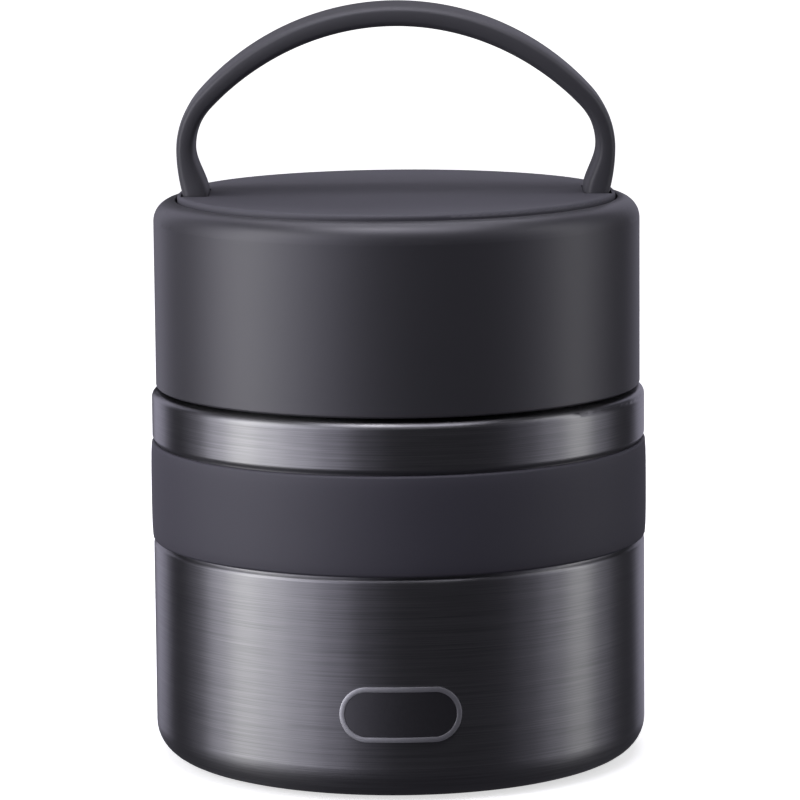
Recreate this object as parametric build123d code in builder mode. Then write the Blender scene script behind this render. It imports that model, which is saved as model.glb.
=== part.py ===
"""Insulated food jar: a double-walled steel jar, a rubber grip band and a screw lid with a carry loop.

Millimetres, +Z up. The origin is the centre of the base, on the surface the jar stands on.
The two thread starts are right-handed, so the lid turns anticlockwise, seen from above, to come off.
"""

import os
from math import cos, hypot, pi, sqrt

from build123d import *

# ---- driving dimensions: the jar ----
jar_d = 100.0  # outside of the steel body
shoulder_z = 74.9  # top of the steel body, under the lid
sheet = 0.6  # steel sheet of both walls
vacuum_gap = 4.8  # between the two walls at the side
floor_gap = 4.6  # between the vessel's floor and the sealing dimple
shoulder_round = 1.4
base_round = 6.5  # corner of the bottom
weld_lift = 5.2  # weld of the drawn bottom, above its round corner

neck_h = 22.4  # from the shoulder to the top of the rolled lip
neck_gap = 0.8  # vacuum gap inside the neck
neck_root_round = 1.0
lip_round = 0.9

vessel_floor_round = 9.0
vessel_taper = 5.0  # height over which the inner wall draws in to the neck
vessel_taper_drop = 2.4  # from the shoulder down to the end of that taper
vessel_taper_round = 4.0

# ---- driving dimensions: the base ----
foot_ring_w = 12.5  # steel foot ring, with its round corner
foot_slope = 1.2  # from the foot ring in to the recess
cover_t = 0.6
pad_t = 1.6
pad_proud = 0.3  # how far the rubber pad stands below the steel foot
pad_play = 0.5  # around the pad and the cover plate
press_round = 0.9  # smallest bend of the pressed bottom
dimple_r = 7.0
dimple_rise = 1.6
dimple_slope = 2.0
vent_r = 0.75  # evacuation hole
seal_r = 2.6
seal_t = 0.9

getter_r = 4.0
getter_t = 1.8
getter_clear = 3.3  # from the dimple to the getter's strap
strap_t = 0.3
strap_w = 4.0
strap_foot = 3.5
strap_play = 0.2

foil_t = 0.2
foil_play = 0.1
foil_inset = 1.4  # from each end of the vessel's straight wall

# ---- driving dimensions: the grip band and the badge ----
band_drop = 10.2  # from the shoulder down to the band
band_h = 20.0
band_seat = 0.65  # depth of the rolled seat
band_t = 0.95
band_play = 0.05
band_end_play = 0.2
band_round = 0.4

badge_l = 24.0
badge_h = 11.0
badge_t = 0.3
badge_z = 17.7

# ---- driving dimensions: the screw closure ----
thread_lead = 12.0  # rise of the lid in one turn
thread_starts = 2
neck_rib_r = 1.3
neck_rib_lift = 6.1  # start of a neck rib above the shoulder
neck_rib_turn = 270.0
lid_rib_r = 1.2
lid_rib_start = 30.0  # degrees after the start of a neck rib
lid_rib_turn = 180.0
rib_sink = 0.05  # how far a rib's centre lies inside its wall
thread_play = 0.3  # between the ribs of the neck and of the lid
crest_play = 0.55  # between a neck rib's crest and the lid's wall

# ---- driving dimensions: the lid ----
lid_set_in = 0.9  # the lid's wall inside the jar's wall
lid_gap = 0.85  # dark gap between the steel shoulder and the lid
lid_wall = 2.0
lid_edge_round = 0.5
lid_inner_round = 3.0
rim_round = 4.2
rim_flat = 0.2
recess_depth = 2.8  # from the rim's highest circle down to the disc's seat

liner_gap = 1.0  # between the liner's wall and the cap's wall
liner_wall = 1.6
liner_flange = 2.0
liner_flange_play = 0.1
liner_lift = 1.4  # liner's lower edge above the lid's lower edge
liner_web_t = 2.0
plug_wall = 1.8
plug_depth = 5.5
plug_bead = 0.8
plug_bead_h = 2.2

gasket_t = 1.7
gasket_play = 0.3
gasket_sleeve_t = 1.5
gasket_sleeve = 1.3  # how far the sleeve reaches into the mouth
gasket_mouth_play = 0.6
gasket_rim_play = 0.5

foam_t = 7.3
foam_play = 0.2
foam_edge_play = 0.4

# ---- driving dimensions: the top disc and the carry loop ----
disc_gap = 0.5  # groove between the disc and the lid's rim
disc_h = 4.0
disc_t = 1.7
disc_skirt = 1.8
disc_round = 0.8
slot_play = 0.3  # round the loop's legs, where they go down through the disc
slot_round = 1.2

loop_h = 38.1  # from the disc's top to the loop's crown
loop_inset = 0.1  # the loop's widest place inside the disc's edge
loop_crown_t = 4.5  # thickness of the crown and of the shoulders
loop_leg_t = 3.7  # thickness of a leg at its widest place
loop_widest_lift = 8.9  # widest place above the disc's top
loop_shoulder_r = 17.4
loop_leg_r = 34.8
loop_root_t = 3.7  # thickness of the leg where it meets its foot
loop_crown_w = 21.0
loop_root_w = 16.0
loop_taper_lift = 2.4  # the strap starts to widen this far above the disc
loop_taper_drop = 9.4  # and has its full width this far below the crown
loop_edge_round = 0.9
foot_t = 2.0
foot_l = 11.4
foot_step = 0.1  # how far each side of a foot lies inside the rounded leg

screw_r = 1.4
screw_play = 0.05
screw_hole_play = 0.2
screw_head_r = 2.7
screw_head_h = 1.3
screw_l = 8.0
screw_point = 1.0
screw_point_play = 0.7
screw_edge = 3.2  # from a screw's axis to the side of the foot
boss_r = 3.0
boss_floor = 0.8
boss_play = 0.3

# ---- worked out from the values above: the jar, from its outside inwards ----
jar_r = jar_d / 2
vessel_r = jar_r - sheet - vacuum_gap - sheet  # inside of the food space
seat_r = jar_r - band_seat
foot_inner_r = jar_r - foot_ring_w
recess_r = foot_inner_r - foot_slope
lid_r = jar_r - lid_set_in
lid_inner_r = lid_r - lid_wall
liner_outer_r = lid_inner_r - liner_gap
liner_bore_r = liner_outer_r - liner_wall
neck_r = liner_bore_r - crest_play - neck_rib_r + rib_sink
mouth_r = neck_r - sheet - neck_gap - sheet  # inside of the mouth
gasket_r = mouth_r - gasket_mouth_play - gasket_sleeve_t
plug_r = gasket_r - gasket_play
disc_recess_r = lid_r - rim_round - rim_flat
disc_r = disc_recess_r - disc_gap

# ---- worked out: heights, from the base upwards ----
foot_z = pad_proud
recess_z = pad_t + cover_t
bottom_inside_z = recess_z + sheet
dimple_z = recess_z + dimple_rise
seam_z = foot_z + base_round + weld_lift
vessel_floor_z = dimple_z + sheet + floor_gap + sheet
vessel_taper_z = shoulder_z - vessel_taper_drop - vessel_taper
foil_bottom_z = vessel_floor_z + vessel_floor_round + foil_inset
foil_top_z = vessel_taper_z - foil_inset
band_top_z = shoulder_z - band_drop
band_bottom_z = band_top_z - band_h
mouth_z = shoulder_z + neck_h
neck_top_z = mouth_z - sheet  # the lip lies on the end of the neck
lid_bottom_z = shoulder_z + lid_gap
web_z = mouth_z + gasket_t
foam_bottom_z = web_z + liner_web_t + foam_play
foam_top_z = foam_bottom_z + foam_t
lid_ceiling_z = foam_top_z + foam_play
disc_seat_z = lid_ceiling_z + lid_wall
rim_z = disc_seat_z + recess_depth  # highest circle of the lid's rim
disc_top_z = disc_seat_z + disc_h

# ---- worked out: the threads, which mesh with thread_play between their flanks ----
neck_rib_z = shoulder_z + neck_rib_lift
neck_rib_centre = neck_r - rib_sink
lid_rib_centre = liner_bore_r + rib_sink
helix_cos = cos(thread_lead / (2 * pi * neck_r))
rib_distance = neck_rib_r + lid_rib_r + thread_play
rib_drop = sqrt(rib_distance**2 - (lid_rib_centre - neck_rib_centre) ** 2) / helix_cos
lid_rib_z = neck_rib_z + thread_lead * lid_rib_start / 360 - rib_drop

# ---- worked out: the loop, a crown arc between two shoulder arcs that meet it without a corner ----
loop_top_z = disc_top_z + loop_h
loop_half_w = disc_r - loop_inset
loop_widest_z = disc_top_z + loop_widest_lift
loop_under_z = loop_top_z - loop_crown_t
loop_inner_half_w = loop_half_w - loop_leg_t
loop_inner_shoulder_r = loop_shoulder_r - loop_crown_t
leg_x = loop_half_w - loop_leg_r + sqrt(loop_leg_r**2 - (loop_widest_z - disc_seat_z) ** 2)
loop_root_x = leg_x - loop_root_t
loop_disc_x = loop_half_w - loop_leg_r + sqrt(loop_leg_r**2 - loop_widest_lift**2)
foot_inner_x = loop_root_x - foot_l
loop_foot_w = loop_root_w - 2 * (loop_edge_round + foot_step)
screw_x = (foot_inner_x + loop_root_x) / 2
screw_y = loop_foot_w / 2 - screw_edge
screw_places = [(sx * screw_x, sy * screw_y) for sx in (-1, 1) for sy in (-1, 1)]
head_z = disc_seat_z + foot_t
boss_l = screw_l - foot_t - lid_wall + screw_point_play + boss_floor

os.makedirs("parts", exist_ok=True)


def corners(sketch, *points):
    """The corners of a profile that lie nearest to the given (radius, height) points."""
    return [sketch.vertices().sort_by_distance((r, z, 0))[0] for r, z in points]


def crown_arc(top_z, half_w, bend_r):
    """Radius of the arc through (0, top_z) that meets the shoulder arc, and the point where they meet."""
    bend_x = half_w - bend_r
    rise = top_z - loop_widest_z
    crown_r = (bend_x**2 + rise**2 - bend_r**2) / (2 * (rise - bend_r))
    centre_z = top_z - crown_r
    share = crown_r / hypot(bend_x, loop_widest_z - centre_z)
    return crown_r, (bend_x * share, centre_z + (loop_widest_z - centre_z) * share)


def thread_rib(centre_r, rib_r, bottom_z, turn):
    """One raised thread from +X, round in section and at both ends, climbing to the right."""
    with BuildPart() as rib:
        with BuildLine() as climb:
            Helix(
                pitch=thread_lead,
                height=thread_lead * turn / 360,
                radius=centre_r,
                center=(0, 0, bottom_z),
            )
        with BuildSketch(climb.line ^ 0):
            Circle(rib_r)
        sweep(is_frenet=True)
        with Locations(climb.line @ 0, climb.line @ 1):
            Sphere(rib_r)
    return rib.part


def save(piece, name):
    """Label a finished piece and write it."""
    piece.label = name
    export_step(piece, f"parts/{name}.step")


# ---- outer_shell: the outer steel wall, with the band's seat, the shoulder and the threaded neck ----
seat_bottom = band_bottom_z - band_end_play
seat_top = band_top_z + band_end_play
with BuildPart() as neck_rib:
    add(thread_rib(neck_rib_centre, neck_rib_r, neck_rib_z, neck_rib_turn))
    with BuildSketch(Plane.XY.offset(shoulder_z)):
        Circle(neck_r - sheet / 2)  # the rib ends inside the neck's sheet
    extrude(amount=neck_h, mode=Mode.SUBTRACT)
with BuildPart() as outer_shell:
    with BuildSketch(Plane.XZ):
        with BuildLine():
            FilletPolyline(
                (jar_r, seam_z),
                (jar_r, seat_bottom - band_seat),
                (seat_r, seat_bottom),
                (seat_r, seat_top),
                (jar_r, seat_top + band_seat),
                (jar_r, shoulder_z),
                (neck_r, shoulder_z),
                (neck_r, neck_top_z),
                radius=[press_round] * 4 + [shoulder_round, neck_root_round],
            )
            offset(amount=sheet, side=Side.LEFT)
        make_face()
    revolve(axis=Axis.Z)
    with PolarLocations(0, thread_starts):
        add(neck_rib.part)
save(outer_shell.part, "outer_shell")

# ---- shell_bottom: drawn bottom cup, welded to the outer wall, with a recess and a sealing dimple ----
with BuildPart() as shell_bottom:
    with BuildSketch(Plane.XZ):
        with BuildLine():
            FilletPolyline(
                (0, dimple_z),
                (dimple_r - dimple_slope, dimple_z),
                (dimple_r, recess_z),
                (recess_r, recess_z),
                (foot_inner_r, foot_z),
                (jar_r, foot_z),
                (jar_r, seam_z),
                radius=[press_round] * 4 + [base_round],
            )
            offset(amount=sheet, side=Side.LEFT)
        make_face()
    revolve(axis=Axis.Z)
    with Locations((0, 0, dimple_z)):
        Hole(radius=vent_r)
save(shell_bottom.part, "shell_bottom")

# ---- inner_vessel: the food vessel, its neck and the rolled lip that closes the vacuum ----
with BuildPart() as inner_vessel:
    with BuildSketch(Plane.XZ):
        with BuildLine():
            FilletPolyline(
                (0, vessel_floor_z),
                (vessel_r, vessel_floor_z),
                (vessel_r, vessel_taper_z),
                (mouth_r, vessel_taper_z + vessel_taper),
                (mouth_r, mouth_z),
                (neck_r, mouth_z),
                radius=[vessel_floor_round, vessel_taper_round, vessel_taper_round, lip_round],
            )
            offset(amount=sheet, side=Side.RIGHT)
        make_face()
    revolve(axis=Axis.Z)
save(inner_vessel.part, "inner_vessel")

# ---- radiation_foil: bright foil round the food vessel, inside the vacuum ----
with BuildPart() as radiation_foil:
    with BuildSketch(Plane.XY.offset(foil_bottom_z)):
        Circle(vessel_r + sheet + foil_play + foil_t)
        Circle(vessel_r + sheet + foil_play, mode=Mode.SUBTRACT)
    extrude(amount=foil_top_z - foil_bottom_z)
save(radiation_foil.part, "radiation_foil")

# ---- getter and its strap: the pill that keeps the vacuum, spot-welded to the bottom ----
strap_half = getter_r + strap_play
getter_x = dimple_r + getter_clear + strap_foot + strap_half
with BuildPart() as getter:
    with BuildSketch(Plane.XY.offset(bottom_inside_z)):
        with Locations((getter_x, 0)):
            Circle(getter_r)
    extrude(amount=getter_t)
save(getter.part, "getter")

with BuildPart() as getter_strap:
    with BuildSketch(Plane.XZ):
        with BuildLine():
            Polyline(
                (getter_x - strap_half - strap_foot, bottom_inside_z),
                (getter_x - strap_half, bottom_inside_z),
                (getter_x - strap_half, bottom_inside_z + getter_t),
                (getter_x + strap_half, bottom_inside_z + getter_t),
                (getter_x + strap_half, bottom_inside_z),
                (getter_x + strap_half + strap_foot, bottom_inside_z),
            )
            offset(amount=strap_t, side=Side.LEFT)
        make_face()
    extrude(amount=strap_w / 2, both=True)
save(getter_strap.part, "getter_strap")

# ---- vacuum_seal: solder bead that closes the evacuation hole from below ----
with BuildPart() as vacuum_seal:
    with BuildSketch(Plane.XY.offset(dimple_z - seal_t)):
        Circle(seal_r)
    extrude(amount=seal_t)
    fillet(vacuum_seal.edges().group_by(Axis.Z)[0], seal_t / 2)
    with BuildSketch(Plane.XY.offset(dimple_z)):
        Circle(vent_r)
    extrude(amount=sheet)
save(vacuum_seal.part, "vacuum_seal")

# ---- base_cover and base_pad: a plate over the seal and the rubber pad the jar stands on ----
with BuildPart() as base_cover:
    with BuildSketch(Plane.XY.offset(pad_t)):
        Circle(recess_r - pad_play)
    extrude(amount=cover_t)
save(base_cover.part, "base_cover")

with BuildPart() as base_pad:
    with BuildSketch(Plane.XY):
        Circle(recess_r - 2 * pad_play)
    extrude(amount=pad_t)
    fillet(base_pad.edges().group_by(Axis.Z)[0], pad_proud)
save(base_pad.part, "base_pad")

# ---- grip_band: stretched rubber sleeve in its rolled seat ----
band_inner_r = seat_r + band_play
with BuildPart() as grip_band:
    with BuildSketch(Plane.XZ) as band_section:
        with Locations((band_inner_r, band_bottom_z)):
            Rectangle(band_t, band_h, align=(Align.MIN, Align.MIN))
        fillet(band_section.vertices().group_by(Axis.X)[-1], band_round)
    revolve(axis=Axis.Z)
save(grip_band.part, "grip_band")

# ---- front_badge: blank plate bonded to the front ----
with BuildPart() as front_badge:
    with BuildSketch(Plane.XZ.offset(jar_r - badge_l / 2)):
        with Locations((0, badge_z)):
            SlotOverall(badge_l, badge_h)
    extrude(amount=badge_l)
    with BuildSketch(Plane.XY):
        Circle(jar_r + badge_t)
        Circle(jar_r, mode=Mode.SUBTRACT)
    extrude(amount=shoulder_z, mode=Mode.INTERSECT)
save(front_badge.part, "front_badge")

# ---- lid_shell: the outer cap, with the recess for the disc and four screw bosses ----
with BuildPart() as lid_shell:
    with BuildSketch(Plane.XZ) as cap_section:
        with BuildLine():
            Polyline(
                (lid_r, lid_bottom_z),
                (lid_r, rim_z),
                (disc_recess_r, rim_z),
                (disc_recess_r, disc_seat_z),
                (0, disc_seat_z),
                (0, lid_ceiling_z),
                (lid_inner_r, lid_ceiling_z),
                (lid_inner_r, lid_bottom_z),
                close=True,
            )
        make_face()
        fillet(corners(cap_section, (lid_r, rim_z)), rim_round)
        fillet(corners(cap_section, (lid_inner_r, lid_ceiling_z)), lid_inner_round)
        fillet(corners(cap_section, (lid_r, lid_bottom_z)), lid_edge_round)
    revolve(axis=Axis.Z)
    with BuildSketch(Plane.XY.offset(lid_ceiling_z)):
        with Locations(screw_places):
            Circle(boss_r)
    extrude(amount=-boss_l)
    with BuildSketch(Plane.XY.offset(disc_seat_z)):
        with Locations(screw_places):
            Circle(screw_r + screw_play)
    extrude(amount=-(lid_wall + boss_l - boss_floor), mode=Mode.SUBTRACT)
save(lid_shell.part, "lid_shell")

# ---- lid_liner: the threaded inner cap, with the plug ring that holds the gasket ----
liner_bottom_z = lid_bottom_z + liner_lift
flange_r = lid_inner_r - liner_flange_play
plug_z = web_z - plug_depth
lid_rib = thread_rib(lid_rib_centre, lid_rib_r, lid_rib_z, lid_rib_turn)
with BuildPart() as lid_liner:
    with BuildSketch(Plane.XZ):
        with BuildLine():
            Polyline(
                (liner_bore_r, liner_bottom_z),
                (flange_r, liner_bottom_z),
                (flange_r, liner_bottom_z + liner_flange),
                (liner_outer_r, liner_bottom_z + liner_flange),
                (liner_outer_r, web_z + liner_web_t),
                (0, web_z + liner_web_t),
                (0, web_z),
                (plug_r - plug_wall, web_z),
                (plug_r - plug_wall, plug_z),
                (plug_r, plug_z),
                (plug_r + plug_bead, plug_z + plug_bead_h / 2),
                (plug_r, plug_z + plug_bead_h),
                (plug_r, web_z),
                (liner_bore_r, web_z),
                close=True,
            )
        make_face()
    revolve(axis=Axis.Z)
    with PolarLocations(0, thread_starts, start_angle=lid_rib_start):
        add(lid_rib)
save(lid_liner.part, "lid_liner")

# ---- lid_gasket: silicone ring with a sleeve that centres in the mouth ----
with BuildPart() as lid_gasket:
    with BuildSketch(Plane.XZ):
        with BuildLine():
            Polyline(
                (gasket_r, mouth_z - gasket_sleeve),
                (gasket_r + gasket_sleeve_t, mouth_z - gasket_sleeve),
                (gasket_r + gasket_sleeve_t, mouth_z),
                (liner_bore_r - gasket_rim_play, mouth_z),
                (liner_bore_r - gasket_rim_play, web_z),
                (gasket_r, web_z),
                close=True,
            )
        make_face()
    revolve(axis=Axis.Z)
save(lid_gasket.part, "lid_gasket")

# ---- lid_insulation: foam between the liner and the cap ----
with BuildPart() as lid_insulation:
    with BuildSketch(Plane.XY.offset(foam_bottom_z)):
        Circle(lid_inner_r - foam_edge_play)
    extrude(amount=foam_t)
    fillet(lid_insulation.edges().group_by(Axis.Z)[-1], lid_inner_round)
    with BuildSketch(Plane.XY.offset(foam_top_z)):
        with Locations(screw_places):
            Circle(boss_r + boss_play)
    extrude(amount=-(boss_l + boss_play), mode=Mode.SUBTRACT)
save(lid_insulation.part, "lid_insulation")

# ---- carry_handle: the arched loop, with two feet that lie under the disc ----
outer_crown_r, outer_bend = crown_arc(loop_top_z, loop_half_w, loop_shoulder_r)
inner_crown_r, inner_bend = crown_arc(loop_under_z, loop_inner_half_w, loop_inner_shoulder_r)
inner_widest = (loop_inner_half_w, loop_widest_z)
foot_outer_x = (loop_root_x + leg_x) / 2
loop_taper_from_z = disc_top_z + loop_taper_lift
loop_taper_to_z = loop_top_z - loop_taper_drop
with BuildPart() as carry_handle:
    with BuildSketch(Plane.XZ):
        with BuildLine():
            RadiusArc((0, loop_top_z), outer_bend, outer_crown_r)
            RadiusArc(outer_bend, (loop_half_w, loop_widest_z), loop_shoulder_r)
            RadiusArc((loop_half_w, loop_widest_z), (leg_x, disc_seat_z), loop_leg_r)
            Line((leg_x, disc_seat_z), (loop_root_x, disc_seat_z))
            Line((loop_root_x, disc_seat_z), (loop_root_x, disc_top_z))
            Spline((loop_root_x, disc_top_z), inner_widest, tangents=[(0, 1), (0, 1)])
            RadiusArc(inner_widest, inner_bend, -loop_inner_shoulder_r)
            RadiusArc(inner_bend, (0, loop_under_z), -inner_crown_r)
            Line((0, loop_under_z), (0, loop_top_z))
        make_face()
        mirror(about=Plane.YZ)
    extrude(amount=loop_crown_w / 2, both=True)
    with BuildSketch(Plane.YZ):
        with BuildLine():
            Polyline(
                (0, loop_top_z),
                (0, disc_seat_z),
                (loop_root_w / 2, disc_seat_z),
                (loop_root_w / 2, loop_taper_from_z),
            )
            Spline(
                (loop_root_w / 2, loop_taper_from_z),
                (loop_crown_w / 2, loop_taper_to_z),
                tangents=[(0, 1), (0, 1)],
            )
            Polyline(
                (loop_crown_w / 2, loop_taper_to_z),
                (loop_crown_w / 2, loop_top_z),
                (0, loop_top_z),
            )
        make_face()
        mirror(about=Plane.YZ)
    extrude(amount=jar_r, both=True, mode=Mode.INTERSECT)
    rims = carry_handle.edges().filter_by(Axis.X, reverse=True).filter_by(Axis.Y, reverse=True)
    fillet(rims, loop_edge_round)
    with BuildSketch(Plane.XY.offset(disc_seat_z)):
        for side in (-1, 1):
            with Locations((side * (foot_inner_x + foot_outer_x) / 2, 0)):
                Rectangle(foot_outer_x - foot_inner_x, loop_foot_w)
    extrude(amount=foot_t)
    with Locations(Plane.XY.offset(head_z)):
        with Locations(screw_places):
            CounterSinkHole(
                radius=screw_r + screw_hole_play,
                counter_sink_radius=screw_head_r + screw_play,
                depth=foot_t,
            )
save(carry_handle.part, "carry_handle")

# ---- top_disc: the raised cover that hides the feet and the screws, with a slot for each leg ----
with BuildPart() as top_disc:
    with BuildSketch(Plane.XZ) as disc_section:
        with BuildLine():
            Polyline(
                (0, disc_top_z),
                (disc_r, disc_top_z),
                (disc_r, disc_seat_z),
                (disc_r - disc_skirt, disc_seat_z),
                (disc_r - disc_skirt, disc_top_z - disc_t),
                (0, disc_top_z - disc_t),
                close=True,
            )
        make_face()
        fillet(corners(disc_section, (disc_r, disc_top_z)), disc_round)
    revolve(axis=Axis.Z)
    slot_l = loop_disc_x - loop_root_x + 2 * slot_play
    with BuildSketch(Plane.XY.offset(disc_seat_z)):
        for side in (-1, 1):
            with Locations((side * (loop_disc_x + loop_root_x) / 2, 0)):
                RectangleRounded(slot_l, loop_root_w + 2 * slot_play, slot_round)
    extrude(amount=disc_h, mode=Mode.SUBTRACT)
save(top_disc.part, "top_disc")

# ---- handle_screws: four countersunk screws through the feet into the bosses ----
with BuildPart(mode=Mode.PRIVATE) as one_screw:
    with BuildSketch(Plane.XZ):
        with BuildLine():
            Polyline(
                (0, head_z),
                (screw_head_r, head_z),
                (screw_r, head_z - screw_head_h),
                (screw_r, head_z - screw_l + screw_point),
                (screw_r / 2, head_z - screw_l),
                (0, head_z - screw_l),
                close=True,
            )
        make_face()
    revolve(axis=Axis.Z)
with BuildPart() as handle_screws:
    with Locations(screw_places):
        add(one_screw.part)
save(handle_screws.part, "handle_screws")
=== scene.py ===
# %% [markdown]
# # An insulated food jar
#
# The jar stands 153 mm high: a dark brushed steel body, a rubber grip band round it, a black screw lid
# with a raised disc, and a carry loop over the lid. The frame that is loaded first holds every piece
# at its real size. It could all be rendered as it comes, but then each piece would look like bare CAD.
# So the soft pieces are modelled again with the edges that moulded rubber has, and every piece gets a
# finish built from nodes.

# %% Load the frame
from math import asin, atan, cos, degrees, pi, radians, sin, sqrt, tan

import bpy
from mathutils import Matrix, Vector


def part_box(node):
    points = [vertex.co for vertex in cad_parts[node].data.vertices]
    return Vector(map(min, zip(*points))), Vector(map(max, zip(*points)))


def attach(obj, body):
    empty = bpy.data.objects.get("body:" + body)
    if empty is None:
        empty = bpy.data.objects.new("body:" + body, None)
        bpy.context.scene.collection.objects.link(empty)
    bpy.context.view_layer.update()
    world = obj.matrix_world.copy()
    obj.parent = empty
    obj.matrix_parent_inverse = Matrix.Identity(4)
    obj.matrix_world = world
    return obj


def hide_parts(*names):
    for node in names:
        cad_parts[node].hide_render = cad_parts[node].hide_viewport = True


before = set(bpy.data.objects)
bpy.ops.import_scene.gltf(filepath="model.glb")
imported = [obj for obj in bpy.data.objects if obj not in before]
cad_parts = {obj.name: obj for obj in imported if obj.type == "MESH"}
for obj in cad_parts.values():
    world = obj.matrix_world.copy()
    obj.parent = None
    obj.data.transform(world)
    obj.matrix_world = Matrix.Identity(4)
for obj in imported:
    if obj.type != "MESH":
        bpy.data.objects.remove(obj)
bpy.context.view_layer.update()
mm = 0.001

# %% [markdown]
# ## Small helpers for modelling
#
# Each new piece starts as a primitive and is shaped in edit mode. Operators act on whatever is
# selected, and a freshly loaded frame is selected all over, so the selection is always set by place:
# a test on a vertex's position picks the edges or faces that the next operator works on. That is
# more reliable than numbered vertices, which change whenever a step before them does.


# %% Helpers: start a piece, select by place, finish a piece
def start(name, add, **settings):
    """Add a primitive with nothing else selected, name it, and go into edit mode."""
    bpy.ops.object.select_all(action="DESELECT")
    add(**settings)
    piece = bpy.context.object
    piece.name = piece.data.name = name
    bpy.ops.object.mode_set(mode="EDIT")
    return piece


def select(piece, kind, test):
    """Select the vertices, edges or faces whose middle passes the test, and return how many did."""
    if bpy.context.mode != "EDIT_MESH":
        bpy.ops.object.mode_set(mode="EDIT")
    bpy.ops.mesh.select_mode(type={"verts": "VERT", "edges": "EDGE", "polygons": "FACE"}[kind])
    bpy.ops.mesh.select_all(action="DESELECT")
    bpy.ops.object.mode_set(mode="OBJECT")
    mesh = piece.data
    chosen = 0
    for item in getattr(mesh, "vertices" if kind == "verts" else kind):
        if kind == "verts":
            middle = item.co
        elif kind == "edges":
            middle = (mesh.vertices[item.vertices[0]].co + mesh.vertices[item.vertices[1]].co) / 2
        else:
            middle = item.center
        item.select = bool(test(middle, item))
        chosen += item.select
    bpy.ops.object.mode_set(mode="EDIT")
    return chosen


def modify(piece, kind, **settings):
    """Add a modifier, set it and apply it."""
    modifier = piece.modifiers.new(kind.lower(), kind)
    for key, value in settings.items():
        setattr(modifier, key, value)
    bpy.context.view_layer.objects.active = piece
    bpy.ops.object.modifier_apply(modifier=modifier.name)


def finish_piece(piece, body, slot, *stands_for, smooth=35):
    """Put the piece's place into its mesh, shade it and hand it to the frame."""
    if bpy.context.mode == "EDIT_MESH":
        bpy.ops.object.mode_set(mode="OBJECT")
    bpy.ops.object.select_all(action="DESELECT")
    piece.select_set(True)
    bpy.context.view_layer.objects.active = piece
    bpy.ops.object.transform_apply(location=True, rotation=True, scale=True)
    bpy.ops.object.shade_smooth_by_angle(angle=radians(smooth))
    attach(piece, body)
    if stands_for:
        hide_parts(*stands_for)
    print(piece.name, "faces:", len(piece.data.polygons))
    return piece


# %% [markdown]
# ## The grip band
#
# A rubber sleeve is stretched into a rolled seat round the body. Its outside isn't a true cylinder:
# stretched rubber is a little fuller between its edges than at them, and its edges are round. It
# could be a profile that is spun round the axis, but a tube is quicker and stays all quads: cut
# across, filled out in the middle, given its wall, and bevelled along its four rims.

# %% Grip band
band_low, band_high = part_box("grip_band")
band_wall = 0.95 * mm
band_fullness = 0.22 * mm  # how much lower the band is at its edges than in its middle
band_rounding = 0.62 * mm
band_cuts = 7

band_r = band_high.x
band_h = band_high.z - band_low.z
band_mid_z = (band_high.z + band_low.z) / 2
grip_band = start(
    "grip_band_rubber", bpy.ops.mesh.primitive_cylinder_add,
    vertices=192, radius=band_r, depth=band_h, end_fill_type="NOTHING", location=(0, 0, band_mid_z),
)
upright_edges = select(grip_band, "edges", lambda middle, edge: abs(middle.z) < band_h / 4)
bpy.ops.mesh.subdivide(number_cuts=band_cuts)
bpy.ops.object.mode_set(mode="OBJECT")
for step in range(band_cuts + 2):
    height = (2 * step / (band_cuts + 1) - 1) * band_h / 2
    select(grip_band, "verts", lambda middle, vertex: abs(middle.z - height) < 0.2 * mm)
    narrower = 1 - band_fullness / band_r * (2 * height / band_h) ** 4
    bpy.ops.transform.resize(value=(narrower, narrower, 1), center_override=(0, 0, band_mid_z))
    bpy.ops.object.mode_set(mode="OBJECT")
modify(grip_band, "SOLIDIFY", thickness=band_wall - band_fullness, offset=-1)
rims = select(
    grip_band, "edges",
    lambda middle, edge: abs(middle.z) > band_h / 2 - 0.05 * mm
    and middle.xy.length > band_r - band_wall / 2
    and abs(grip_band.data.vertices[edge.vertices[0]].co.xy.length
            - grip_band.data.vertices[edge.vertices[1]].co.xy.length) < 0.05 * mm,
)
bpy.ops.mesh.bevel(offset=band_rounding, segments=5)
finish_piece(grip_band, "jar", "band_rubber", "grip_band")
print("cut upright edges:", upright_edges, "| rounded rim edges:", rims)

# %% [markdown]
# ## The badge
#
# A thin metal plate is bonded to the front, near the base. It carries no name here: a dark field inside
# a satin frame, both bent to the body's curve. Its outline is a circle whose two halves are pulled
# apart, which gives straight sides with true round ends. Modelled flat, the frame is one inset of
# that outline, so it has the same width all round. The bend comes last: every point is moved back
# onto the cylinder, so that the plate follows the steel all over. Cuts from end to end, made before
# that, are what lets the flat faces follow the curve.

# %% Badge: a flat outline and the bend onto the body
badge_low, badge_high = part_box("front_badge")
jar_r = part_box("outer_shell")[1].x
badge_l = badge_high.x - badge_low.x
badge_h = badge_high.z - badge_low.z
badge_mid_z = (badge_high.z + badge_low.z) / 2
badge_t = -badge_low.y - jar_r
frame_w = 1.0 * mm
frame_height = 0.12 * mm  # how far the frame stands above the field
bend_step = 1.0 * mm


def badge_outline(name, length, height):
    """A flat face with straight sides and round ends, left selected in edit mode."""
    plate = start(
        name, bpy.ops.mesh.primitive_circle_add,
        vertices=64, radius=height / 2, fill_type="NGON",
    )
    for side in (-1, 1):
        select(plate, "verts", lambda middle, vertex: middle.x * side > 0.01 * mm)
        bpy.ops.transform.translate(value=(side * (length - height) / 2, 0, 0))
    bpy.ops.mesh.select_all(action="SELECT")
    return plate


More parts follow.
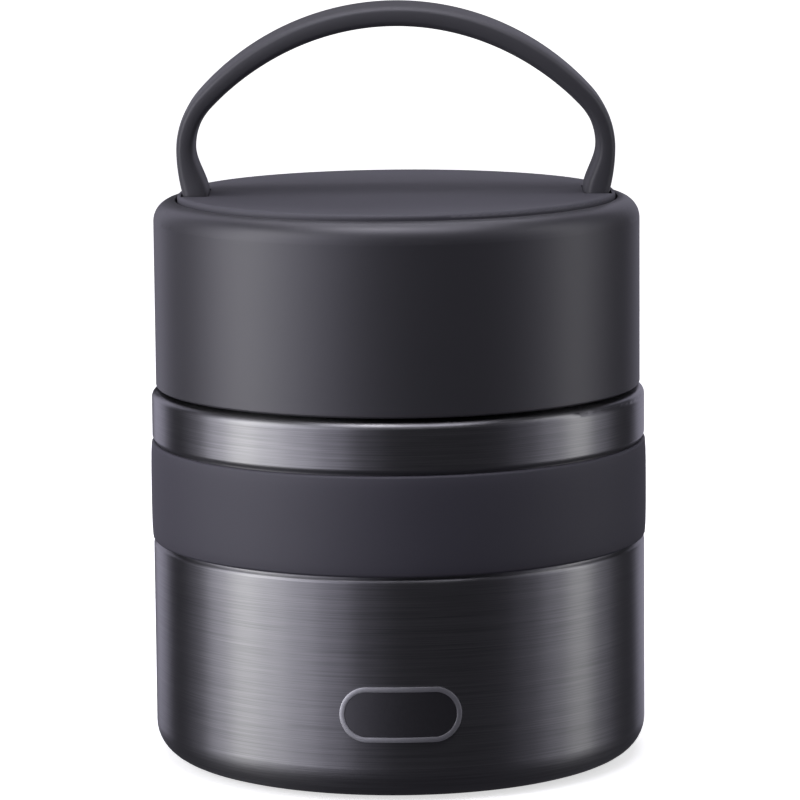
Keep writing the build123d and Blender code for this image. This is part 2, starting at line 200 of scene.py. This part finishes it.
def bend_onto_body(plate):
    """Cut the flat plate into strips, stand it up on the front and wrap it round the body."""
    strips = int(badge_l / bend_step)
    for strip in range(1 - strips // 2, strips // 2):
        bpy.ops.mesh.select_all(action="SELECT")
        bpy.ops.mesh.bisect(plane_co=(strip * bend_step, 0, 0), plane_no=(1, 0, 0))
    bpy.ops.object.mode_set(mode="OBJECT")
    for vertex in plate.data.vertices:
        across, up, out = vertex.co
        angle = across / jar_r
        vertex.co = ((jar_r + out) * sin(angle), -(jar_r + out) * cos(angle), badge_mid_z + up)
    bpy.ops.object.mode_set(mode="EDIT")
    bpy.ops.mesh.select_all(action="SELECT")
    bpy.ops.mesh.normals_make_consistent(inside=False)
    bpy.ops.object.mode_set(mode="OBJECT")


# %% Badge: the field and its frame
badge_plate = badge_outline("badge_plate", badge_l - frame_w, badge_h - frame_w)
bpy.ops.mesh.extrude_region_move(TRANSFORM_OT_translate={"value": (0, 0, badge_t - frame_height)})
bend_onto_body(badge_plate)
finish_piece(badge_plate, "jar", "badge_metal", "front_badge")

badge_frame = badge_outline("badge_frame", badge_l, badge_h)
bpy.ops.mesh.inset(thickness=frame_w)
bpy.ops.mesh.delete(type="FACE")
bpy.ops.mesh.select_all(action="SELECT")
bpy.ops.mesh.extrude_region_move(TRANSFORM_OT_translate={"value": (0, 0, badge_t)})
bend_onto_body(badge_frame)
modify(badge_frame, "BEVEL", width=0.07 * mm, segments=2, limit_method="ANGLE", angle_limit=radians(60))
finish_piece(badge_frame, "jar", "badge_metal")

# %% [markdown]
# ## The carry loop
#
# The loop is one moulded strap: a wide crown arc, two tighter shoulders, and legs that lean in and go
# down through the disc. Its section is a pillow, with full faces and soft edges, which a bevelled
# box doesn't have. The section is drawn once, as a circle pressed towards a rectangle, and then spun
# about the centres of the three arcs, one after the other. Each spin starts where the last one
# ended, so the arcs meet without a corner. The other half is a mirror image.

# %% Carry loop: the section and its three spins
loop_low, loop_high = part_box("carry_handle")
disc_low, disc_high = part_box("top_disc")
crown_t = 4.5 * mm  # thickness of the crown and the shoulders
leg_t = 3.7 * mm
loop_root_w = 16.0 * mm
widest_lift = 8.9 * mm  # the loop's widest place above the disc
shoulder_r = 17.4 * mm
leg_r = 34.8 * mm
pillow = 4.5  # 2 would be an ellipse, and a large number a rectangle

half_w = loop_high.x
crown_w = 2 * loop_high.y
widest_z = disc_high.z + widest_lift
rise = loop_high.z - widest_z
shoulder_x = half_w - shoulder_r
crown_r = (shoulder_x**2 + rise**2 - shoulder_r**2) / (2 * (rise - shoulder_r))
lean = atan(shoulder_x / (widest_z - loop_high.z + crown_r))

carry_loop = start(
    "carry_loop", bpy.ops.mesh.primitive_circle_add,
    vertices=48, radius=1.0, fill_type="NOTHING",
)
bpy.ops.object.mode_set(mode="OBJECT")
for vertex in carry_loop.data.vertices:
    across = abs(vertex.co.x) ** (2 / pillow) * (1 if vertex.co.x > 0 else -1)
    out = abs(vertex.co.y) ** (2 / pillow) * (1 if vertex.co.y > 0 else -1)
    vertex.co = (0, across * crown_w / 2, loop_high.z - crown_t / 2 + out * crown_t / 2)
bpy.ops.object.mode_set(mode="EDIT")
bpy.ops.mesh.select_all(action="SELECT")
arcs = (
    (32, lean, (0, 0, loop_high.z - crown_r)),
    (20, pi / 2 - lean, (shoulder_x, 0, widest_z)),
    (14, asin((widest_z - loop_low.z) / leg_r), (half_w - leg_r, 0, widest_z)),
)
for steps, angle, centre in arcs:
    bpy.ops.mesh.spin(steps=steps, angle=angle, center=centre, axis=(0, -1, 0))
bpy.ops.mesh.edge_face_add()
print("crown radius in mm:", round(crown_r / mm, 1), "| lean:", round(degrees(lean), 1))

# %% [markdown]
# The strap narrows towards its roots. Its shoulders thin out towards the loop's widest place, and from
# there down the legs thicken again on the inside, which spreads the load of a full jar. Each change
# is a smooth step over a stretch of height, and moves a point more the nearer it lies to the loop's
# inside. Below the disc's top each leg has a foot, pulled out of its inner side.


# %% Carry loop: the taper, the roots and the feet
def smooth_step(value, low, high):
    """0 below low, 1 above high, and an S-curve between them."""
    share = min(max((value - low) / (high - low), 0), 1)
    return share * share * (3 - 2 * share)


def depth_under(x, z, centre_x, centre_z, outside_r):
    """0 on the outside of an arc of the loop, and 1 on its inside."""
    return min(max((outside_r - sqrt((x - centre_x) ** 2 + (z - centre_z) ** 2)) / crown_t, 0), 1)


root_t = 3.7 * mm  # thickness of a leg where it meets its foot
root_x = half_w - leg_r + sqrt(leg_r**2 - (widest_z - loop_low.z) ** 2) - root_t
inner_x = half_w - leg_t
crown_centre_z = loop_high.z - crown_r
foot_t = 2.0 * mm
foot_l = 11.4 * mm
foot_w = 13.5 * mm
taper_from = disc_high.z + 2.4 * mm
taper_to = loop_high.z - 9.4 * mm

bpy.ops.object.mode_set(mode="OBJECT")
for vertex in carry_loop.data.vertices:
    x, y, z = vertex.co
    narrow = loop_root_w / crown_w
    y *= narrow + (1 - narrow) * smooth_step(z, taper_from, taper_to)
    if z < widest_z:
        leg_outside = half_w - leg_r + sqrt(leg_r**2 - (widest_z - z) ** 2)
        leg_inside = inner_x + (root_x - inner_x) * (1 - smooth_step(z, disc_high.z, widest_z))
        depth = depth_under(x, z, half_w - leg_r, widest_z, leg_r)
        x += depth * (leg_inside - leg_outside + crown_t)
    else:
        on_crown = x < tan(lean) * (z - crown_centre_z)
        arc = (0, crown_centre_z, crown_r) if on_crown else (shoulder_x, widest_z, shoulder_r)
        thinning = (crown_t - leg_t) * (1 - smooth_step(z, widest_z, loop_high.z - crown_t))
        x += depth_under(x, z, *arc) * thinning
    vertex.co = (x, y, z)
bpy.ops.object.mode_set(mode="EDIT")
bpy.ops.mesh.select_all(action="SELECT")
bpy.ops.mesh.bisect(plane_co=(0, 0, loop_low.z + foot_t), plane_no=(0, 0, 1))
root_faces = select(
    carry_loop, "polygons",
    lambda middle, face: middle.z < loop_low.z + foot_t
    and face.normal.x < -0.7 and abs(middle.y) < foot_w / 2,
)
bpy.ops.mesh.extrude_region_move(TRANSFORM_OT_translate={"value": (-foot_l, 0, 0)})
bpy.ops.transform.resize(value=(0, 1, 1), center_override=(root_x - foot_l, 0, loop_low.z))
bpy.ops.mesh.select_all(action="SELECT")
bpy.ops.mesh.normals_make_consistent(inside=False)
bpy.ops.object.mode_set(mode="OBJECT")
modify(carry_loop, "MIRROR", use_axis=(True, False, False), merge_threshold=0.05 * mm)
finish_piece(carry_loop, "lid", "loop_plastic", "carry_handle", smooth=50)
print("faces pulled out into each foot:", root_faces)

# %% [markdown]
# ## Shader maths as arithmetic
#
# A finish is a small formula: a grain, times a strength, plus a base value. Wired by hand, each plus
# and times is a node with two loose ends. Here a class wraps a socket, and its operators add the
# Math nodes, so a line such as `0.3 + 0.1 * streaks` builds them. All other nodes come from one
# method, which sets a node up before its sockets are filled.


# %% Shader helpers
class Socket:
    """A node's output socket that can be used in arithmetic."""

    def __init__(self, tree, socket):
        self.tree = tree
        self.socket = socket

    def math(self, operation, *values):
        node = self.tree.nodes.new("ShaderNodeMath")
        node.operation = operation
        for target, value in zip(node.inputs, values):
            fill(self.tree, target, value)
        return Socket(self.tree, node.outputs[0])

    def __add__(self, other):
        return self.math("ADD", self, other)

    def __sub__(self, other):
        return self.math("SUBTRACT", self, other)

    def __rsub__(self, other):
        return self.math("SUBTRACT", other, self)

    def __mul__(self, other):
        return self.math("MULTIPLY", self, other)

    def __truediv__(self, other):
        return self.math("DIVIDE", self, other)

    def __rtruediv__(self, other):
        return self.math("DIVIDE", other, self)

    __radd__ = __add__
    __rmul__ = __mul__


def fill(tree, target, value):
    """Link a socket to another one, or set it to a plain value."""
    if isinstance(value, Socket):
        tree.links.new(value.socket, target)
    else:
        target.default_value = value


class Finish:
    """A material with one Principled shader, and the nodes that vary it over the surface."""

    def __init__(self, name, **constants):
        self.material = bpy.data.materials.new(name)
        self.material.use_nodes = True
        self.tree = self.material.node_tree
        self.shader = self.tree.nodes["Principled BSDF"]
        self.set(**constants)

    def node(self, kind, settings=(), sockets=(), output=0):
        """Add a node, set it up, fill its sockets and return one of its outputs."""
        node = self.tree.nodes.new(kind)
        for key, value in dict(settings).items():
            if key == "stops":
                ramp = node.color_ramp.elements
                ramp[0].position, ramp[1].position = value[0][0], value[-1][0]
                for place, _ in value[1:-1]:
                    ramp.new(place)
                for stop, (_, grey) in zip(ramp, value):
                    stop.color = (grey, grey, grey, 1)
            else:
                setattr(node, key, value)
        for name, value in dict(sockets).items():
            fill(self.tree, node.inputs[name], value)
        return Socket(self.tree, node.outputs[output])

    def place(self, scale=(1, 1, 1)):
        """The point on the object, in metres, with each axis multiplied by its own scale."""
        point = self.node("ShaderNodeTexCoord", output="Object")
        return self.node("ShaderNodeMapping", {}, {"Vector": point, "Scale": scale})

    def noise(self, scale, detail=2.0, roughness=0.5, stretch=(1, 1, 1)):
        """Soft random values from about 0.3 to 0.7, with grains of 1 / scale metres."""
        sockets = {"Vector": self.place(stretch), "Scale": scale, "Detail": detail, "Roughness": roughness}
        return self.node("ShaderNodeTexNoise", {}, sockets, "Fac")

    def ramp(self, value, *stops):
        """A grey curve through (value, grey) stops."""
        return self.node("ShaderNodeValToRGB", {"stops": stops}, {"Fac": value})

    def blend(self, share, first, second):
        """A colour between two others."""
        sockets = {"Factor": share, 6: (*first, 1), 7: (*second, 1)}  # 6 and 7 are the two colours
        return self.node("ShaderNodeMix", {"data_type": "RGBA"}, sockets, 2)

    def bump(self, height, depth):
        """A normal bent by a height map whose full range is the given depth in metres."""
        return self.node("ShaderNodeBump", {}, {"Height": height, "Distance": depth})

    def set(self, **sockets):
        """Fill the shader's sockets. An underscore in a name stands for a space."""
        for name, value in sockets.items():
            target = self.shader.inputs[name.replace("_", " ")]
            if isinstance(value, tuple) and len(value) == 3:
                value = (*value, 1.0)
            fill(self.tree, target, value)

    def dress(self, *pieces):
        """Make this the only material of the pieces, which are CAD nodes' names or new objects."""
        for piece in pieces:
            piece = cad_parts[piece] if isinstance(piece, str) else piece
            piece.data.materials.clear()
            piece.data.materials.append(self.material)


# %% [markdown]
# ## Brushed, tinted steel
#
# The body is stainless steel with a smoky tint under the brushing. The brush went round the jar, so
# its scratches are long across and very fine up and down. Noise that is stretched through space does
# this without a seam: low frequency in X and Y, high in Z. The scratches also spread each highlight
# up and down the wall and keep it narrow across, which is what the anisotropy setting is for.

# %% Body steel
body_steel = Finish("body_steel", Metallic=1.0, Anisotropic=0.75, Anisotropic_Rotation=0.25)
fine_lines = body_steel.noise(1.0, detail=3.0, roughness=0.6, stretch=(45, 45, 5200))
broad_lines = body_steel.noise(1.0, detail=2.0, stretch=(14, 14, 900))
smudges = body_steel.noise(38.0, detail=3.0)
lines = 0.8 * fine_lines + 0.2 * broad_lines
body_steel.set(
    Base_Color=body_steel.blend(body_steel.ramp(lines, (0.3, 0.0), (0.7, 1.0)),
                                (0.196, 0.195, 0.202), (0.312, 0.31, 0.322)),
    Roughness=0.27 + 0.12 * lines + 0.05 * smudges,
    Normal=body_steel.bump(fine_lines, 0.004 * mm),
)
body_steel.dress("outer_shell", "shell_bottom")
print("nodes in the body steel:", len(body_steel.tree.nodes))

# %% [markdown]
# ## Plain steel inside
#
# The food vessel, the base cover and the getter's strap are untinted. The vessel is electropolished:
# brighter and smoother than the outside, with soft marks from drawing.

# %% Vessel steel
vessel_steel = Finish("vessel_steel", Metallic=1.0)
draw_marks = vessel_steel.noise(1.0, detail=3.0, stretch=(60, 60, 1400))
clouds = vessel_steel.noise(55.0, detail=2.0)
vessel_steel.set(
    Base_Color=vessel_steel.blend(clouds, (0.52, 0.52, 0.53), (0.68, 0.68, 0.68)),
    Roughness=0.2 + 0.14 * draw_marks,
    Normal=vessel_steel.bump(draw_marks, 0.003 * mm),
)
vessel_steel.dress("inner_vessel", "base_cover", "getter_strap")
print("nodes in the vessel steel:", len(vessel_steel.tree.nodes))

# %% [markdown]
# ## Moulded plastics and rubber
#
# The lid, its disc, the loop and the liner are moulded, and so is the rubber. Up close they all have
# a spark-eroded grain: tiny bumps that blur the highlight. They differ in tone, in how wide the
# highlight is, and in how fine the grain is, so one recipe with those three settings makes them all.


# %% Moulded finishes
def moulded(name, tone, roughness, grain, depth, mottle=0.1, **constants):
    """A moulded surface: its tone varies a little, and its grain is 1 / grain metres wide."""
    finish = Finish(name, **constants)
    pores = finish.noise(grain, detail=2.0, roughness=0.65)
    cast = finish.noise(60.0, detail=3.0)
    dark = tuple(part * (1 - mottle) for part in tone)
    light = tuple(part * (1 + mottle) for part in tone)
    finish.set(
        Base_Color=finish.blend(0.7 * cast + 0.3 * pores, dark, light),
        Roughness=roughness - 0.05 + 0.1 * pores,
        Normal=finish.bump(pores, depth),
    )
    return finish


lilac = (0.95, 0.935, 1.0, 1.0)  # the cool cast of the dark pigment in the gloss
lid_plastic = moulded("lid_plastic", (0.036, 0.0353, 0.0405), 0.41, 3200.0, 0.008 * mm,
                      Specular_IOR_Level=0.8, Specular_Tint=lilac)
disc_plastic = moulded("disc_plastic", (0.062, 0.0605, 0.073), 0.66, 3000.0, 0.012 * mm,
                       Specular_IOR_Level=0.6, Specular_Tint=lilac)
loop_plastic = moulded("loop_plastic", (0.056, 0.0553, 0.062), 0.5, 2800.0, 0.012 * mm,
                       Specular_IOR_Level=0.55, Specular_Tint=lilac)
liner_plastic = moulded("liner_plastic", (0.06, 0.06, 0.063), 0.35, 1500.0, 0.004 * mm)
band_rubber = moulded("band_rubber", (0.034, 0.0322, 0.045), 0.66, 2600.0, 0.014 * mm,
                      Specular_IOR_Level=0.9, Specular_Tint=lilac)
base_rubber = moulded("base_rubber", (0.03, 0.03, 0.032), 0.7, 1800.0, 0.02 * mm)
silicone = moulded("silicone", (0.62, 0.61, 0.58), 0.45, 1200.0, 0.005 * mm,
                   Subsurface_Weight=0.2, Subsurface_Scale=0.002)
foam = moulded("foam", (0.78, 0.75, 0.66), 0.85, 1400.0, 0.15 * mm)
solder_glass = moulded("solder_glass", (0.24, 0.25, 0.27), 0.15, 700.0, 0.01 * mm)

lid_plastic.dress("lid_shell")
disc_plastic.dress("top_disc")
loop_plastic.dress(carry_loop)
liner_plastic.dress("lid_liner")
band_rubber.dress(grip_band)
base_rubber.dress("base_pad")
silicone.dress("lid_gasket")
foam.dress("lid_insulation")
solder_glass.dress("vacuum_seal")
print("nodes in one moulded finish:", len(lid_plastic.tree.nodes))

# %% [markdown]
# ## Small metal parts
#
# The badge's field is anodised dark, and its frame is the same aluminium left bright. The foil,
# the getter and the screws are hidden, but they get their own metals too.


# %% Small metals
def metal(name, tone, roughness, grain, depth):
    """A plain metal with a fine, even texture."""
    finish = Finish(name, Metallic=1.0)
    texture = finish.noise(grain, detail=3.0)
    finish.set(
        Base_Color=finish.blend(texture, tuple(0.85 * part for part in tone), tone),
        Roughness=roughness - 0.06 + 0.12 * texture,
        Normal=finish.bump(texture, depth),
    )
    return finish


badge_dark = metal("badge_dark", (0.16, 0.158, 0.17), 0.4, 2400.0, 0.004 * mm)
badge_bright = metal("badge_bright", (0.6, 0.6, 0.63), 0.5, 2400.0, 0.003 * mm)
foil = metal("foil", (0.85, 0.85, 0.86), 0.22, 240.0, 0.08 * mm)
getter_metal = metal("getter_metal", (0.28, 0.28, 0.29), 0.6, 1800.0, 0.03 * mm)
screw_steel = metal("screw_steel", (0.6, 0.6, 0.58), 0.3, 900.0, 0.006 * mm)
badge_dark.dress(badge_plate)
badge_bright.dress(badge_frame)
foil.dress("radiation_foil")
getter_metal.dress("getter")
screw_steel.dress("handle_screws")
print("nodes in one small metal:", len(foil.tree.nodes))

# %% [markdown]
# ## The floor and the backdrop
#
# The jar stands on a wide white floor that runs out to a white dome. Steel this smooth would show that
# white all round and turn pale itself. The floor and the dome are kept out of its reflections and of
# its shading, as a studio does with black cards round the set. The lamps only reach the floor near
# the jar, so the paper glows a little more further out, which keeps it one even white with just a soft
# shadow at the base. A camera close to the floor's height looks past the floor to the dome. One that is
# set to see less far than the dome is away shows the dark room there instead.

# %% Floor and backdrop
set_radius = 40.0
glow_reach = 2.0  # how far out the paper reaches its full glow
floor_white = Finish("floor_white", Roughness=0.9, Emission_Strength=1.0)
paper = floor_white.noise(8.0)
away = floor_white.node("ShaderNodeVectorMath", {"operation": "LENGTH"}, {0: floor_white.place()}, "Value")
glow = floor_white.ramp(away / glow_reach, (0.0, 0.62), (0.25, 0.7), (1.0, 1.0))
floor_white.set(
    Base_Color=floor_white.blend(paper, (0.78, 0.78, 0.785), (0.82, 0.82, 0.825)),
    Emission_Color=glow,
)
dome_white = Finish("dome_white", Base_Color=(0.0, 0.0, 0.0), Roughness=1.0, Specular_IOR_Level=0.0,
                    Emission_Color=(1.0, 1.0, 1.0), Emission_Strength=1.0)

bpy.ops.object.select_all(action="DESELECT")
bpy.ops.mesh.primitive_circle_add(vertices=96, radius=set_radius, fill_type="NGON")
floor = bpy.context.object
floor.name = "floor"
floor.data.materials.append(floor_white.material)

bpy.ops.object.select_all(action="DESELECT")
bpy.ops.mesh.primitive_uv_sphere_add(segments=64, ring_count=32, radius=set_radius * 0.99)
dome = bpy.context.object
dome.name = "backdrop"
dome.data.materials.append(dome_white.material)

for surround in (floor, dome):
    surround.visible_glossy = False
    surround.visible_diffuse = False
    surround.visible_shadow = False
print("metres out to the floor's edge:", set_radius)

# %% [markdown]
# ## Studio light
#
# A round, shiny body is a mirror for the lamps themselves, so their places are chosen by what they
# draw on it. A tall softbox at the left draws the bright upright band. Its cloth fades slowly towards
# the front, which is what makes the steel darken so softly. A weaker one at the right shapes the far
# side, and two narrow ones behind draw thin lines down both edges. They all reach below the floor's
# height, because the lower body mirrors what lies under the horizon. A fading softbox is a row of
# upright strips, each a little weaker and cooler than the one before, since the room's own light is cool.

# %% Lights: a lamp panel and a fading softbox
lamp_distance = 0.9
strip_step = 15  # degrees of azimuth
lamp_low, lamp_top = -0.2, 1.0
aim_height = 0.11  # the lid's rim, which the overhead panels are aimed at
cool_white = (0.95, 0.92, 1.13)  # the room's own light, beside the white of the lamps


def panel(name, place, aim, width, tall, radiance, coolness=0.0):
    """A rectangular lamp at a place, facing another one. It isn't seen by the camera."""
    lamp = bpy.data.lights.new(name, "AREA")
    lamp.color = [1 + coolness * (part - 1) for part in cool_white]
    lamp.shape = "RECTANGLE"
    lamp.size = width
    lamp.size_y = tall
    lamp.energy = radiance * pi * width * tall
    box = bpy.data.objects.new(name, lamp)
    box.location = place
    box.rotation_euler = (Vector(aim) - Vector(place)).to_track_quat("-Z", "Y").to_euler()
    box.visible_camera = False
    bpy.context.scene.collection.objects.link(box)


def upright(name, azimuth, spread, radiance, coolness=1.0):
    """A tall panel round the jar, spread degrees wide. Azimuth 0 is the front and 90 the right."""
    turn = radians(azimuth)
    middle = (lamp_low + lamp_top) / 2
    place = (lamp_distance * sin(turn), -lamp_distance * cos(turn), middle)
    width = 2 * lamp_distance * tan(radians(spread) / 2)
    panel(name, place, (0, 0, middle), width, lamp_top - lamp_low, radiance, coolness)


def fading(name, azimuth, radiance, to_front, to_back, curve):
    """Strips on both sides of an azimuth that fade to nothing over to_front and to_back degrees."""
    side = 1 if azimuth > 0 else -1
    for step in range(-to_back // strip_step, to_front // strip_step + 1):
        reach = to_front if step > 0 else to_back
        share = max(1 - abs(step) * strip_step / reach, 0) ** curve
        if share > 0:
            turn = azimuth - side * step * strip_step
            upright(f"{name}_{step}", turn, strip_step, radiance * share, coolness=1 - share)


fading("key", -75, 3.45, 65, 34, 1.3)
fading("fill", 90, 1.68, 60, 42, 3.3)
upright("edge_left", -147, 24, 0.62)
upright("edge_right", 157, 28, 0.46)
print("lamps round the jar:", len(bpy.data.lights))

# %% [markdown]
# Four wide panels hang overhead, in a row from the front to the back. They light the disc and the top
# of the loop and draw the line along the lid's rim, and a small bright one makes that line flare up just
# left of the middle. A dim panel lies under the floor, in place of the floor's own reflection in the
# steel: without it the rolled edges that face down would be black. Last come a weak, very wide sky and a
# dark blue-grey room, which fill the shadows.

# %% Lights: overhead, the sky and the room
sky_spread = radians(130)
sky_strength = 0.9
room_tone = (0.0225, 0.022, 0.0255)

panel("top_wide", (0, -0.14, 0.9), (0, 0, aim_height), 0.7, 0.21, 3.2, 0.5)
panel("top_front", (0, -0.34, 0.83), (0, 0, aim_height), 0.7, 0.21, 1.9, 0.5)
panel("top_spot", (-0.08, -0.09, 0.9), (0, 0, aim_height), 0.14, 0.1, 12.0)
panel("top_middle", (0, 0.08, 0.91), (0, 0, aim_height), 0.7, 0.21, 1.5, 0.5)
panel("top_back", (0, 0.4, 0.8), (0, 0, aim_height), 0.7, 0.21, 2.2, 0.5)
panel("from_below", (0, 0, lamp_low), (0, 0, aim_height), 2.4, 2.4, 0.03, 1.0)

sky_light = bpy.data.lights.new("sky", "SUN")
sky_light.angle = sky_spread
sky_light.energy = sky_strength
sky = bpy.data.objects.new("sky", sky_light)
sky.visible_glossy = False
bpy.context.scene.collection.objects.link(sky)

world = bpy.data.worlds.new("studio")
world.use_nodes = True
world.node_tree.nodes["Background"].inputs["Color"].default_value = (*room_tone, 1)
bpy.context.scene.world = world
bpy.context.scene.view_settings.view_transform = "Standard"
print("lamps in all:", len(bpy.data.lights))

# %% [markdown]
# ## The camera
#
# A long lens from just under a metre, well above the lid and looking down a little. From there the
# rims are flat ellipses that open towards the base, because the base is seen from higher up.

# %% Camera
camera_away = 0.9
camera_height = 0.2092
camera_x = 0.0004
camera_pitch = radians(8.67)
camera_roll = radians(-0.51)
camera_lens = 201.4  # on a sensor 36 mm wide

camera_data = bpy.data.cameras.new("camera")
camera_data.sensor_width = 36.0
camera_data.lens = camera_lens
camera_data.clip_end = 200.0
camera = bpy.data.objects.new("camera", camera_data)
camera.location = (camera_x, -camera_away, camera_height)
facing = Vector((0, cos(camera_pitch), -sin(camera_pitch))).to_track_quat("-Z", "Y").to_matrix().to_4x4()
camera.rotation_euler = (facing @ Matrix.Rotation(camera_roll, 4, "Z")).to_euler()
bpy.context.scene.collection.objects.link(camera)
bpy.context.scene.camera = camera
print("field of view in degrees:", round(degrees(camera_data.angle), 1))
